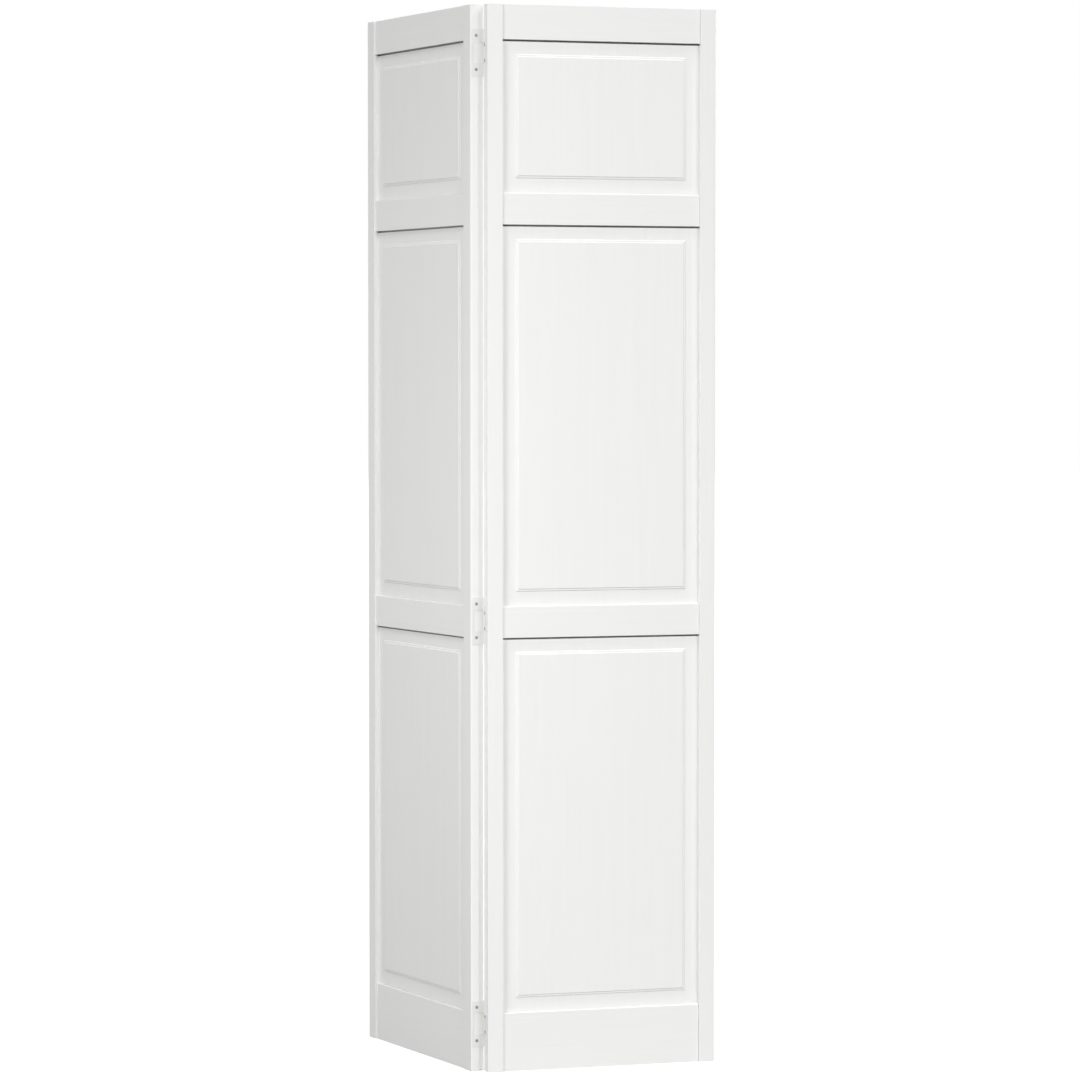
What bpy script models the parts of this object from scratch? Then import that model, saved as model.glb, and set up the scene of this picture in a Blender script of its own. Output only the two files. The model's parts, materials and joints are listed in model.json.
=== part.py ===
"""White two-leaf bifold closet door, half folded, with raised panels and three nesting hinges.

The right leaf lies along +X with its front face towards -Y, and the left leaf turns about the pins.
Inside a leaf, distances "along" it are measured from the plane of the pins towards its outer edge,
y runs from front to back with the pins at y = 0, and z is the height above the floor.
"""

import math

import bmesh
import bpy
from mathutils import Matrix, Vector

MM = 0.001

# Leaves: both are the same size
LEAF_WIDTH = 450.8 * MM
LEAF_HEIGHT = 2006.6 * MM
FOLD_AT_REST = math.radians(79.0)

# Stiles, the upright members, which stand proud of the rails on both faces
STILE_WIDTH = 30.2 * MM
STILE_DEPTH = 26.3 * MM
STILE_EASE = 1.6 * MM
FOLD_EASE = 0.3 * MM

# Rails, the level members, and the openings between them
RAIL_DEPTH = 20.1 * MM
TOP_RAIL_HEIGHT = 65.0 * MM
FRIEZE_RAIL_HEIGHT = 60.0 * MM
LOCK_RAIL_HEIGHT = 60.0 * MM
BOTTOM_RAIL_HEIGHT = 111.5 * MM
TOP_OPENING_HEIGHT = 285.5 * MM
BOTTOM_OPENING_HEIGHT = 708.6 * MM

# Panels: a flat edge that enters the grooves, then two small steps up to the raised field
PANEL_EDGE_DEPTH = 9.9 * MM
PANEL_FLOAT = 1.0 * MM
PANEL_MARGIN = 26.5 * MM
STEP_RUN = 2.0 * MM
STEP_RISE = 1.5 * MM
STEP_LEDGE = 2.0 * MM

# Grooves, tenons and dowels that join the frame
GROOVE_DEPTH = 9.0 * MM
DOWEL_DIAMETER = 6.0 * MM
DOWEL_IN_RAIL = 24.0 * MM
DOWEL_IN_STILE = 6.0 * MM
NARROW_RAIL_DOWELS = 1
BOTTOM_RAIL_DOWELS = 2

# Hinges: the outer leaf is a C that the inner leaf nests in when the door is flat
HINGE_HEIGHT = 88.0 * MM
HINGE_ARM_HEIGHT = 24.5 * MM
HINGE_FRONT_MARGIN = 2.8 * MM
HINGE_SPINE = 5.0 * MM
HINGE_THICKNESS = 1.0 * MM
KNUCKLE_DIAMETER = 4.4 * MM
PIN_DIAMETER = 2.2 * MM
PIN_SETBACK = 0.15 * MM
HINGE_END_DISTANCE = 89.5 * MM
MIDDLE_HINGE_RISE = 2.4 * MM

# Countersunk screws that hold the hinges on the stile edges, and the wood left past their tips
SCREW_END_WALL = 1.0 * MM
SCREW_SHANK_DIAMETER = 3.0 * MM
SCREW_HEAD_DIAMETER = 6.4 * MM
SCREW_TIP_DIAMETER = 0.8 * MM
SCREW_TIP_LENGTH = 3.0 * MM
SCREW_SINK = 0.1 * MM
SCREW_RIM_MARGIN = 1.3 * MM
OUTER_SCREW_MARGIN = 8.8 * MM

# Clearances between pieces that touch, nest or turn
JOINT_CLEARANCE = 0.3 * MM
NEST_CLEARANCE = 0.5 * MM
PLATE_CLEARANCE = 0.1 * MM
PIN_CLEARANCE = 0.2 * MM

# Facets round a turned piece, and the least crease that stays sharp on it
KNUCKLE_SIDES = 20
FASTENER_SIDES = 12
CREASE = math.radians(40)

# Worked out from the sizes above
GROOVE_WIDTH = PANEL_EDGE_DEPTH + 2 * JOINT_CLEARANCE
PANEL_TONGUE = GROOVE_DEPTH - PANEL_FLOAT
LEAF_GAP = HINGE_THICKNESS + 2 * PLATE_CLEARANCE
NEAR_EDGE = LEAF_GAP / 2
FAR_EDGE = NEAR_EDGE + LEAF_WIDTH
NEAR_SIGHT = NEAR_EDGE + STILE_WIDTH
FAR_SIGHT = FAR_EDGE - STILE_WIDTH
NEAR_SHOULDER = NEAR_SIGHT + JOINT_CLEARANCE
FAR_SHOULDER = FAR_SIGHT - JOINT_CLEARANCE
KNUCKLE_RADIUS = KNUCKLE_DIAMETER / 2
BACK_Y = -PIN_SETBACK
FRONT_Y = BACK_Y - STILE_DEPTH
MIDDLE_Y = (BACK_Y + FRONT_Y) / 2
HINGE_REACH = -FRONT_Y - HINGE_FRONT_MARGIN
INNER_LEAF_HEIGHT = HINGE_HEIGHT - 2 * (HINGE_ARM_HEIGHT + NEST_CLEARANCE)
INNER_LEAF_REACH = HINGE_REACH - HINGE_SPINE - NEST_CLEARANCE
SCREW_START = SCREW_SINK - HINGE_THICKNESS / 2
SCREW_HEAD_DEPTH = HINGE_THICKNESS - 2 * SCREW_SINK
SCREW_END = NEAR_SIGHT - GROOVE_DEPTH - DOWEL_IN_STILE - SCREW_END_WALL
SCREW_LENGTH = SCREW_END - SCREW_START
OUTER_SCREW_SPACING = HINGE_HEIGHT - HINGE_ARM_HEIGHT
OUTER_SCREW_REACH = HINGE_REACH - OUTER_SCREW_MARGIN
INNER_SCREW_SPACING = INNER_LEAF_HEIGHT - SCREW_HEAD_DIAMETER - 2 * SCREW_RIM_MARGIN
INNER_SCREW_REACH = (KNUCKLE_RADIUS + INNER_LEAF_REACH) / 2
LOCK_RAIL_MIDDLE = BOTTOM_RAIL_HEIGHT + BOTTOM_OPENING_HEIGHT + LOCK_RAIL_HEIGHT / 2
HINGE_CENTRES = {
    "bottom": HINGE_END_DISTANCE,
    "middle": LOCK_RAIL_MIDDLE + MIDDLE_HINGE_RISE,
    "top": LEAF_HEIGHT - HINGE_END_DISTANCE,
}

# The way a leaf runs from the pins when the door is flat
RIGHT = 1
LEFT = -1


def clear_scene():
    """Remove every object that is in the scene."""
    for item in list(bpy.data.objects):
        bpy.data.objects.remove(item, do_unlink=True)


def finish(name, colour, roughness, metallic=0.0):
    """A plain surface finish."""
    material = bpy.data.materials.new(name)
    material.use_nodes = True
    shader = material.node_tree.nodes["Principled BSDF"]
    shader.inputs["Base Color"].default_value = (*colour, 1.0)
    shader.inputs["Roughness"].default_value = roughness
    shader.inputs["Metallic"].default_value = metallic
    return material


def closed_mesh(name, work):
    """Turn a bmesh into a mesh whose faces all point outwards."""
    bmesh.ops.recalc_face_normals(work, faces=work.faces)
    mesh = bpy.data.meshes.new(name)
    work.to_mesh(mesh)
    work.free()
    return mesh


def prism(name, outline, direction):
    """A solid with the given flat outline, drawn along one direction."""
    work = bmesh.new()
    face = work.faces.new([work.verts.new(point) for point in outline])
    swept = bmesh.ops.extrude_face_region(work, geom=[face])["geom"]
    points = [item for item in swept if isinstance(item, bmesh.types.BMVert)]
    bmesh.ops.translate(work, verts=points, vec=direction)
    return closed_mesh(name, work)


def add_block(work, corner, opposite):
    """Add a rectangular block between two corners."""
    low = Vector(map(min, corner, opposite))
    high = Vector(map(max, corner, opposite))
    place = Matrix.Translation((low + high) / 2) @ Matrix.Diagonal((*(high - low), 1.0))
    bmesh.ops.create_cube(work, size=1.0, matrix=place)


def add_turned(work, profile, sides, place):
    """Add a turned solid: its profile is (radius, distance along the axis) from end to end."""
    rings = []
    for radius, distance in profile:
        ring = []
        for step in range(sides):
            angle = 2 * math.pi * step / sides
            point = Vector((radius * math.cos(angle), radius * math.sin(angle), distance))
            ring.append(work.verts.new(place @ point))
        rings.append(ring)
    for lower, upper in zip(rings, rings[1:]):
        for step in range(sides):
            after = (step + 1) % sides
            work.faces.new((lower[step], lower[after], upper[after], upper[step]))
    work.faces.new(reversed(rings[0]))
    work.faces.new(rings[-1])


def smooth_round(mesh):
    """Shade a round mesh smooth, with its creases left sharp."""
    mesh.shade_smooth()
    mesh.set_sharp_from_angle(angle=CREASE)
    return mesh


def turned(name, profile, sides, place):
    """A turned solid, shaded smooth round its side."""
    work = bmesh.new()
    add_turned(work, profile, sides, place)
    return smooth_round(closed_mesh(name, work))


def combined(base, tool, operation):
    """The mesh that a Boolean makes from a base and a tool."""
    solid = bpy.data.objects.new(base.name, base)
    cutter = bpy.data.objects.new(tool.name, tool)
    for item in (solid, cutter):
        bpy.context.collection.objects.link(item)
    step = solid.modifiers.new(operation.lower(), "BOOLEAN")
    step.operation = operation
    step.solver = "EXACT"
    step.object = cutter
    graph = bpy.context.evaluated_depsgraph_get()
    result = bpy.data.meshes.new_from_object(solid.evaluated_get(graph))
    result.name = base.name
    for item in (solid, cutter):
        bpy.data.objects.remove(item, do_unlink=True)
    return result


def lengthways(side, along, y, z=0.0):
    """The place of an axis that runs along a leaf, away from the pins."""
    turn = Matrix.Rotation(side * math.pi / 2, 4, "Y")
    return Matrix.Translation((side * along, y, z)) @ turn


def add_part(name, mesh, parent, material, height=0.0):
    """Put one named piece in the scene, at a height on the axis that carries it."""
    part = bpy.data.objects.new(name, mesh)
    bpy.context.collection.objects.link(part)
    part.parent = parent
    part.location.z = height
    if material.name not in mesh.materials:
        mesh.materials.append(material)
    return part


def add_axis(name, parent=None, angle=0.0):
    """An empty on the line of the pins, which carries a leaf or the whole door."""
    axis = bpy.data.objects.new(name, None)
    bpy.context.collection.objects.link(axis)
    axis.parent = parent
    axis.rotation_euler.z = angle
    return axis


def rails():
    """Each rail from the floor up: its name, lower edge and height, and the panel and opening above."""
    solid_height = TOP_RAIL_HEIGHT + FRIEZE_RAIL_HEIGHT + LOCK_RAIL_HEIGHT + BOTTOM_RAIL_HEIGHT
    middle_opening = LEAF_HEIGHT - solid_height - TOP_OPENING_HEIGHT - BOTTOM_OPENING_HEIGHT
    base = 0.0
    for name, height, panel, opening in (
        ("bottom", BOTTOM_RAIL_HEIGHT, "bottom", BOTTOM_OPENING_HEIGHT),
        ("lock", LOCK_RAIL_HEIGHT, "middle", middle_opening),
        ("frieze", FRIEZE_RAIL_HEIGHT, "top", TOP_OPENING_HEIGHT),
        ("top", TOP_RAIL_HEIGHT, None, 0.0),
    ):
        yield name, base, height, panel, opening
        base += height + opening


def groove_floors(name, height):
    """The lower and upper edge of what is left between a rail's grooves, where its tenons are."""
    low = 0.0 if name == "bottom" else GROOVE_DEPTH
    high = height if name == "top" else height - GROOVE_DEPTH
    return low, high


def dowel_heights(name, base, height):
    """The heights of the dowels in each end of a rail, spread evenly over its tenon."""
    low, high = groove_floors(name, height)
    count = BOTTOM_RAIL_DOWELS if name == "bottom" else NARROW_RAIL_DOWELS
    share = (high - low) / count
    return [base + low + share * (step + 0.5) for step in range(count)]


def screw_heights(spacing):
    """The two heights of a hinge leaf's screws, from the middle of the hinge."""
    return {"lower": -spacing / 2, "upper": spacing / 2}


def add_bore(work, diameter, side, start, end, y, z):
    """Add a straight drill along a leaf, between two distances from the pins."""
    radius = diameter / 2 + JOINT_CLEARANCE
    profile = ((radius, 0.0), (radius, end - start))
    add_turned(work, profile, FASTENER_SIDES, lengthways(side, start, y, z))


def add_knuckle_relief(work, centre):
    """Add the cutter that makes room for a hinge's knuckles in a stile's back corner."""
    radius = KNUCKLE_RADIUS + JOINT_CLEARANCE
    end = HINGE_HEIGHT / 2 + NEST_CLEARANCE
    add_turned(work, ((radius, centre - end), (radius, centre + end)), KNUCKLE_SIDES, Matrix())


def stile_mesh(name, side, plain, grooved, screw_spacing=None, screw_reach=None):
    """A stile: an eased bar, grooved along one edge, drilled, and relieved for the knuckles at hinges."""
    inward = math.copysign(1.0, grooved - plain)
    ease = inward * STILE_EASE
    back_ease = FOLD_EASE if screw_spacing else STILE_EASE
    floor = grooved - inward * GROOVE_DEPTH
    outline = (
        (plain, FRONT_Y + STILE_EASE),
        (plain + ease, FRONT_Y),
        (grooved - ease, FRONT_Y),
        (grooved, FRONT_Y + STILE_EASE),
        (grooved, MIDDLE_Y - GROOVE_WIDTH / 2),
        (floor, MIDDLE_Y - GROOVE_WIDTH / 2),
        (floor, MIDDLE_Y + GROOVE_WIDTH / 2),
        (grooved, MIDDLE_Y + GROOVE_WIDTH / 2),
        (grooved, BACK_Y - STILE_EASE),
        (grooved - ease, BACK_Y),
        (plain + inward * back_ease, BACK_Y),
        (plain, BACK_Y - back_ease),
    )
    bar = prism(name, [(side * along, y, 0.0) for along, y in outline], (0.0, 0.0, LEAF_HEIGHT))
    bores = bmesh.new()
    deepest = floor - inward * (DOWEL_IN_STILE + JOINT_CLEARANCE)
    start, end = sorted((deepest, grooved))
    for rail, base, height, _, _ in rails():
        for z in dowel_heights(rail, base, height):
            add_bore(bores, DOWEL_DIAMETER, side, start, end, MIDDLE_Y, z)
    if screw_spacing:
        end = SCREW_END + JOINT_CLEARANCE
        for centre in HINGE_CENTRES.values():
            add_knuckle_relief(bores, centre)
            for rise in screw_heights(screw_spacing).values():
                add_bore(bores, SCREW_SHANK_DIAMETER, side, SCREW_START, end, -screw_reach, centre + rise)
    return combined(bar, closed_mesh(name + "_bores", bores), "DIFFERENCE")


def rail_mesh(node, side, name, base, height):
    """A rail: grooved where a panel enters it, cut to a stub tenon at each end, drilled for dowels."""
    low, high = groove_floors(name, height)
    front = MIDDLE_Y - RAIL_DEPTH / 2
    back = MIDDLE_Y + RAIL_DEPTH / 2
    wall_front = MIDDLE_Y - GROOVE_WIDTH / 2
    wall_back = MIDDLE_Y + GROOVE_WIDTH / 2
    outline = [(front, 0.0)]
    if low > 0.0:
        outline += [(wall_front, 0.0), (wall_front, low), (wall_back, low), (wall_back, 0.0)]
    outline += [(back, 0.0), (back, height)]
    if high < height:
        outline += [(wall_back, height), (wall_back, high), (wall_front, high), (wall_front, height)]
    outline += [(front, height)]
    near_end = NEAR_SHOULDER - GROOVE_DEPTH
    far_end = FAR_SHOULDER + GROOVE_DEPTH
    points = [(side * near_end, y, base + z) for y, z in outline]
    bar = prism(node, points, (side * (far_end - near_end), 0.0, 0.0))
    near_past = near_end - GROOVE_DEPTH
    far_past = far_end + GROOVE_DEPTH
    cheeks = bmesh.new()
    for shoulder, past in ((NEAR_SHOULDER, near_past), (FAR_SHOULDER, far_past)):
        for face in (-1, 1):
            cheek = MIDDLE_Y + face * PANEL_EDGE_DEPTH / 2
            outside = MIDDLE_Y + face * RAIL_DEPTH
            corner = (side * shoulder, cheek, base - height)
            opposite = (side * past, outside, base + 2 * height)
            add_block(cheeks, corner, opposite)
    tenoned = combined(bar, closed_mesh(node + "_cheeks", cheeks), "DIFFERENCE")
    bores = bmesh.new()
    bore_depth = DOWEL_IN_RAIL + JOINT_CLEARANCE
    for z in dowel_heights(name, base, height):
        add_bore(bores, DOWEL_DIAMETER, side, near_past, NEAR_SHOULDER + bore_depth, MIDDLE_Y, z)
        add_bore(bores, DOWEL_DIAMETER, side, FAR_SHOULDER - bore_depth, far_past, MIDDLE_Y, z)
    return combined(tenoned, closed_mesh(node + "_bores", bores), "DIFFERENCE")


def panel_mesh(name, side, low, high):
    """A panel: flat edges for the grooves and, on both faces, two small steps up to a raised field."""
    edge = PANEL_EDGE_DEPTH / 2
    foot = PANEL_TONGUE + PANEL_MARGIN
    ledge = foot + STEP_RUN
    rise = ledge + STEP_LEDGE
    face = (
        (0.0, edge),
        (foot, edge),
        (ledge, edge + STEP_RISE),
        (rise, edge + STEP_RISE),
        (rise + STEP_RUN, edge + 2 * STEP_RISE),
    )
    section = [(inset, -depth) for inset, depth in reversed(face)] + list(face)
    work = bmesh.new()
    rings = []
    for inset, depth in section:
        near = side * (NEAR_SIGHT - PANEL_TONGUE + inset)
        far = side * (FAR_SIGHT + PANEL_TONGUE - inset)
        bottom = low - PANEL_TONGUE + inset
        top = high + PANEL_TONGUE - inset
        y = MIDDLE_Y + depth
        corners = ((near, y, bottom), (far, y, bottom), (far, y, top), (near, y, top))
        rings.append([work.verts.new(corner) for corner in corners])
    for outer, inner in zip(rings, rings[1:]):
        for step in range(4):
            after = (step + 1) % 4
            work.faces.new((outer[step], outer[after], inner[after], inner[step]))
    work.faces.new(rings[0])
    work.faces.new(rings[-1])
    return closed_mesh(name, work)


def dowel_mesh(name, side, start, end):
    """A dowel that runs along a leaf, between two distances from the pins."""
    radius = DOWEL_DIAMETER / 2
    profile = ((radius, 0.0), (radius, end - start))
    return turned(name, profile, FASTENER_SIDES, lengthways(side, start, MIDDLE_Y))


def screw_mesh(name, side, reach):
    """A countersunk wood screw, driven from the fold into a stile edge."""
    head = SCREW_HEAD_DIAMETER / 2
    shank = SCREW_SHANK_DIAMETER / 2
    profile = (
        (head, 0.0),
        (shank, SCREW_HEAD_DEPTH),
        (shank, SCREW_LENGTH - SCREW_TIP_LENGTH),
        (SCREW_TIP_DIAMETER / 2, SCREW_LENGTH),
    )
    return turned(name, profile, FASTENER_SIDES, lengthways(side, SCREW_START, -reach))


def add_countersink(work, side, reach, z):
    """Add the cutter for a countersunk screw hole in a hinge leaf."""
    head = SCREW_HEAD_DIAMETER / 2 + JOINT_CLEARANCE
    shank = SCREW_SHANK_DIAMETER / 2 + JOINT_CLEARANCE
    profile = (
        (head, -KNUCKLE_DIAMETER),
        (head, 0.0),
        (shank, SCREW_HEAD_DEPTH),
        (shank, SCREW_HEAD_DEPTH + HINGE_THICKNESS),
    )
    add_turned(work, profile, FASTENER_SIDES, lengthways(side, SCREW_START, -reach, z))


def hinge_leaf_mesh(name, side, plate, knuckles, screw_spacing, screw_reach):
    """A hinge leaf: a flat plate with its knuckles, bored for the pin and countersunk for screws."""
    points = [(-HINGE_THICKNESS / 2, y, z) for y, z in plate]
    flat = prism(name, points, (HINGE_THICKNESS, 0.0, 0.0))
    rolls = bmesh.new()
    for low, high in knuckles:
        add_turned(rolls, ((KNUCKLE_RADIUS, low), (KNUCKLE_RADIUS, high)), KNUCKLE_SIDES, Matrix())
    leaf = combined(flat, closed_mesh(name + "_knuckles", rolls), "UNION")
    holes = bmesh.new()
    bore = PIN_DIAMETER / 2 + PIN_CLEARANCE
    add_turned(holes, ((bore, -HINGE_HEIGHT), (bore, HINGE_HEIGHT)), KNUCKLE_SIDES, Matrix())
    for rise in screw_heights(screw_spacing).values():
        add_countersink(holes, side, screw_reach, rise)
    return smooth_round(combined(leaf, closed_mesh(name + "_holes", holes), "DIFFERENCE"))


def outer_hinge_leaf_mesh(name):
    """The C-shaped hinge leaf, with a knuckle on each arm, for the left leaf's stile edge."""
    top = HINGE_HEIGHT / 2
    arm = top - HINGE_ARM_HEIGHT
    spine = HINGE_SPINE - HINGE_REACH
    plate = (
        (0.0, -top),
        (-HINGE_REACH, -top),
        (-HINGE_REACH, top),
        (0.0, top),
        (0.0, arm),
        (spine, arm),
        (spine, -arm),
        (0.0, -arm),
    )
    knuckles = ((-top, -arm), (arm, top))
    return hinge_leaf_mesh(name, LEFT, plate, knuckles, OUTER_SCREW_SPACING, OUTER_SCREW_REACH)


def inner_hinge_leaf_mesh(name):
    """The hinge leaf that nests in the outer one, with the middle knuckle, for the right leaf."""
    top = INNER_LEAF_HEIGHT / 2
    plate = ((0.0, -top), (-INNER_LEAF_REACH, -top), (-INNER_LEAF_REACH, top), (0.0, top))
    return hinge_leaf_mesh(name, RIGHT, plate, ((-top, top),), INNER_SCREW_SPACING, INNER_SCREW_REACH)


def pin_mesh(name):
    """A hinge pin, as long as the hinge."""
    radius = PIN_DIAMETER / 2
    end = HINGE_HEIGHT / 2
    return turned(name, ((radius, -end), (radius, end)), KNUCKLE_SIDES, Matrix())


def build_leaf(leaf, side, axis, finishes):
    """One leaf's stiles, rails, panels and dowels."""
    spacing = OUTER_SCREW_SPACING if side == LEFT else INNER_SCREW_SPACING
    reach = OUTER_SCREW_REACH if side == LEFT else INNER_SCREW_REACH
    node = leaf + "_hinge_stile"
    add_part(node, stile_mesh(node, side, NEAR_EDGE, NEAR_SIGHT, spacing, reach), axis, finishes["stile"])
    node = leaf + "_outer_stile"
    add_part(node, stile_mesh(node, side, FAR_EDGE, FAR_SIGHT), axis, finishes["stile"])
    stile_side = GROOVE_DEPTH + DOWEL_IN_STILE
    dowels = {
        "near": dowel_mesh(leaf + "_near_dowel", side, NEAR_SIGHT - stile_side, NEAR_SHOULDER + DOWEL_IN_RAIL),
        "far": dowel_mesh(leaf + "_far_dowel", side, FAR_SHOULDER - DOWEL_IN_RAIL, FAR_SIGHT + stile_side),
    }
    for name, base, height, panel, opening in rails():
        node = f"{leaf}_{name}_rail"
        add_part(node, rail_mesh(node, side, name, base, height), axis, finishes["rail"])
        for count, z in enumerate(dowel_heights(name, base, height), 1):
            for end, mesh in dowels.items():
                add_part(f"{node}_{end}_dowel_{count}", mesh, axis, finishes["dowel"], z)
        if panel:
            node = f"{leaf}_{panel}_panel"
            low = base + height
            add_part(node, panel_mesh(node, side, low, low + opening), axis, finishes["panel"])


def build_hinges(right, left, finishes):
    """Three hinges: the outer leaves and pins go with the left leaf, the inner leaves with the right."""
    outer = outer_hinge_leaf_mesh("hinge_outer_leaf")
    inner = inner_hinge_leaf_mesh("hinge_inner_leaf")
    pin = pin_mesh("hinge_pin")
    outer_screw = screw_mesh("hinge_outer_screw", LEFT, OUTER_SCREW_REACH)
    inner_screw = screw_mesh("hinge_inner_screw", RIGHT, INNER_SCREW_REACH)
    for name, centre in HINGE_CENTRES.items():
        hinge = name + "_hinge"
        add_part(hinge + "_outer_leaf", outer, left, finishes["hinge"], centre)
        add_part(hinge + "_pin", pin, left, finishes["pin"], centre)
        add_part(hinge + "_inner_leaf", inner, right, finishes["hinge"], centre)
        for place, rise in screw_heights(OUTER_SCREW_SPACING).items():
            node = f"{hinge}_outer_screw_{place}"
            add_part(node, outer_screw, left, finishes["screw"], centre + rise)
        for place, rise in screw_heights(INNER_SCREW_SPACING).items():
            node = f"{hinge}_inner_screw_{place}"
            add_part(node, inner_screw, right, finishes["screw"], centre + rise)


def stand_on_origin(door):
    """Move the whole door so that the box around it stands centred on the origin."""
    bpy.context.view_layer.update()
    parts = [item for item in bpy.data.objects if item.type == "MESH"]
    points = [part.matrix_world @ vertex.co for part in parts for vertex in part.data.vertices]
    low = Vector(map(min, *points))
    high = Vector(map(max, *points))
    door.location = -Vector(((low.x + high.x) / 2, (low.y + high.y) / 2, low.z))
    bpy.context.view_layer.update()


def main():
    """Build the whole door."""
    clear_scene()
    white = (0.86, 0.86, 0.85)
    finishes = {
        "stile": finish("stile_paint", white, 0.38),
        "rail": finish("rail_paint", white, 0.38),
        "panel": finish("panel_paint", white, 0.42),
        "dowel": finish("dowel_beech", (0.72, 0.56, 0.38), 0.65),
        "hinge": finish("hinge_enamel", (0.84, 0.84, 0.83), 0.3),
        "pin": finish("pin_steel", (0.55, 0.55, 0.54), 0.35, 1.0),
        "screw": finish("screw_zinc", (0.62, 0.62, 0.6), 0.35, 1.0),
    }
    door = add_axis("door")
    right = add_axis("right_leaf", door)
    left = add_axis("left_leaf", door, -FOLD_AT_REST)
    build_leaf("right", RIGHT, right, finishes)
    build_leaf("left", LEFT, left, finishes)
    build_hinges(right, left, finishes)
    stand_on_origin(door)


main()
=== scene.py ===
"""White bifold closet door in a plain studio: painted pine leaves, enamelled hinges and zinc screws.

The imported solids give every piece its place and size. The classes here make finer meshes in the same
places, with rounded arrises, moulded panel steps, rolled knuckles, fluted dowels and cross-recess screws.
Inside a leaf, distances "along" it run from the plane of the pins to its outer edge, y runs from front
to back with the pins at y = 0, and z is the height above the floor.
"""

import json
import logging
import math
from dataclasses import dataclass, fields
from enum import Enum
from itertools import count
from typing import Any, ClassVar, Iterable, Mapping, Optional, Sequence, Union

import bmesh
import bpy
from bmesh.types import BMEdge, BMesh, BMVert
from bpy.types import Curve, Material, Mesh, Node, NodeOutputs, NodeSocket, NodeTree, Object
from mathutils import Euler, Matrix, Vector


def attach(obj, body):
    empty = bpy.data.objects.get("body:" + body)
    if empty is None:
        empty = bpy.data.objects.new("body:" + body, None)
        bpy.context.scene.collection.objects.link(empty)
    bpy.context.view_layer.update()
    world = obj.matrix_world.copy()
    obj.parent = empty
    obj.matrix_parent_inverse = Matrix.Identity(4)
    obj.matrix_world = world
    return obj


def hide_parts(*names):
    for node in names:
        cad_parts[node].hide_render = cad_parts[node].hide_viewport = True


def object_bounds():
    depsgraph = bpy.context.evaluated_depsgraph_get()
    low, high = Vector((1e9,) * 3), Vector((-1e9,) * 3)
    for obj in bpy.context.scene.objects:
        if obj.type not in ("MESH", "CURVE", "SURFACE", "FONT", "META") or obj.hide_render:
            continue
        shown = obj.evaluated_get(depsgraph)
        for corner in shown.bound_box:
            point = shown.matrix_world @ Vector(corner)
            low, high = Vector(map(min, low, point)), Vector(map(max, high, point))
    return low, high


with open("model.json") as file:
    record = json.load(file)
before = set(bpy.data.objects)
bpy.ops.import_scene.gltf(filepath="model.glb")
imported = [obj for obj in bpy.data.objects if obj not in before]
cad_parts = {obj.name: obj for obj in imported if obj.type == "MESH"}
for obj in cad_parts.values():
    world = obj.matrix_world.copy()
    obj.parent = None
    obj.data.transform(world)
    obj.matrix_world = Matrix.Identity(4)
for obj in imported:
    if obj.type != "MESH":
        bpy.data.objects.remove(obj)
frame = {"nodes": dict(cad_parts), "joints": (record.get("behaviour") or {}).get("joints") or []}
CAD_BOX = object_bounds()

LOG = logging.getLogger("bifold_door")
MM = 0.001
QUARTER_TURN = math.pi / 2
# Points closer than this are one point, and faces within this angle are one flat face
MERGE_DISTANCE = 0.005 * MM
FLAT_ANGLE = math.radians(0.5)
# Edges that turn more than this stay sharp in the shading
CREASE_ANGLE = math.radians(38.0)
# Each board's grain starts this far from the one before it, so that no two boards match
BOARD_STEP = 1.37
# Boards in one leaf: two stiles, four rails and three panels
BOARDS = 9
# What meshes store: each vertex's place on its board, and 1 on each face inside a panel gap, for the painted
# shade there
GRAIN_LAYER = "grain"
GAP_SHADE_LAYER = "undercoat_only"


class Leaf(Enum):
    """The two leaves, by the way each runs from the pins when the door is flat."""

    RIGHT = 1
    LEFT = -1

    @property
    def word(self) -> str:
        """The word that starts the names of the leaf's pieces."""
        return self.name.lower()

    @property
    def body(self) -> str:
        """The body that carries the leaf."""
        return f"{self.word}_leaf"


class Grain(Enum):
    """The way a board's grain runs."""

    UPRIGHT = "upright"
    LEVEL = "level"


class PlateKind(Enum):
    """The two plates of a nesting hinge, by the word in their names."""

    OUTER = "outer"
    INNER = "inner"


class Socket(Enum):
    """The kinds of input that a node tree here takes."""

    LENGTH = "NodeSocketFloat"
    COUNT = "NodeSocketInt"
    TURN = "NodeSocketVector"
    FINISH = "NodeSocketMaterial"


def linear(code: str) -> tuple[float, float, float, float]:
    """Turn an sRGB hex colour into linear values, by the sRGB standard's curve.

    Args:
        code: the colour as "#RRGGBB".
    Returns:
        Linear red, green and blue, and an alpha of 1.
    """
    levels = [int(code[start : start + 2], 16) / 255 for start in (1, 3, 5)]
    return (*(v / 12.92 if v <= 0.04045 else ((v + 0.055) / 1.055) ** 2.4 for v in levels), 1.0)


def add_node(tree: NodeTree, kind: str, links: Optional[Mapping] = None, **settings: Any) -> Node:
    """Add one node with its settings, values and links.

    Args:
        tree: the tree that gets the node.
        kind: the node's type name.
        links: for each socket name or number, its value or what feeds it: an output, a node, which
            stands for its first output in use, or a list of these.
        settings: the node's own attributes.
    Returns:
        The new node.
    """
    node = tree.nodes.new(kind)
    for name, value in settings.items():
        setattr(node, name, value)
    for socket, value in (links or {}).items():
        for source in value if isinstance(value, list) else [value]:
            if isinstance(source, Node):
                source = next(output for output in source.outputs if output.enabled)
            if isinstance(source, NodeSocket):
                tree.links.new(source, node.inputs[socket])
            else:
                node.inputs[socket].default_value = source
    return node


def empty_material(name: str) -> tuple[Material, NodeTree]:
    """Make a material with an empty node tree.

    Args:
        name: the material's name.
    Returns:
        The material and its tree.
    """
    material = bpy.data.materials.new(name)
    material.use_nodes = True
    material.node_tree.nodes.clear()
    return material, material.node_tree


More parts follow.
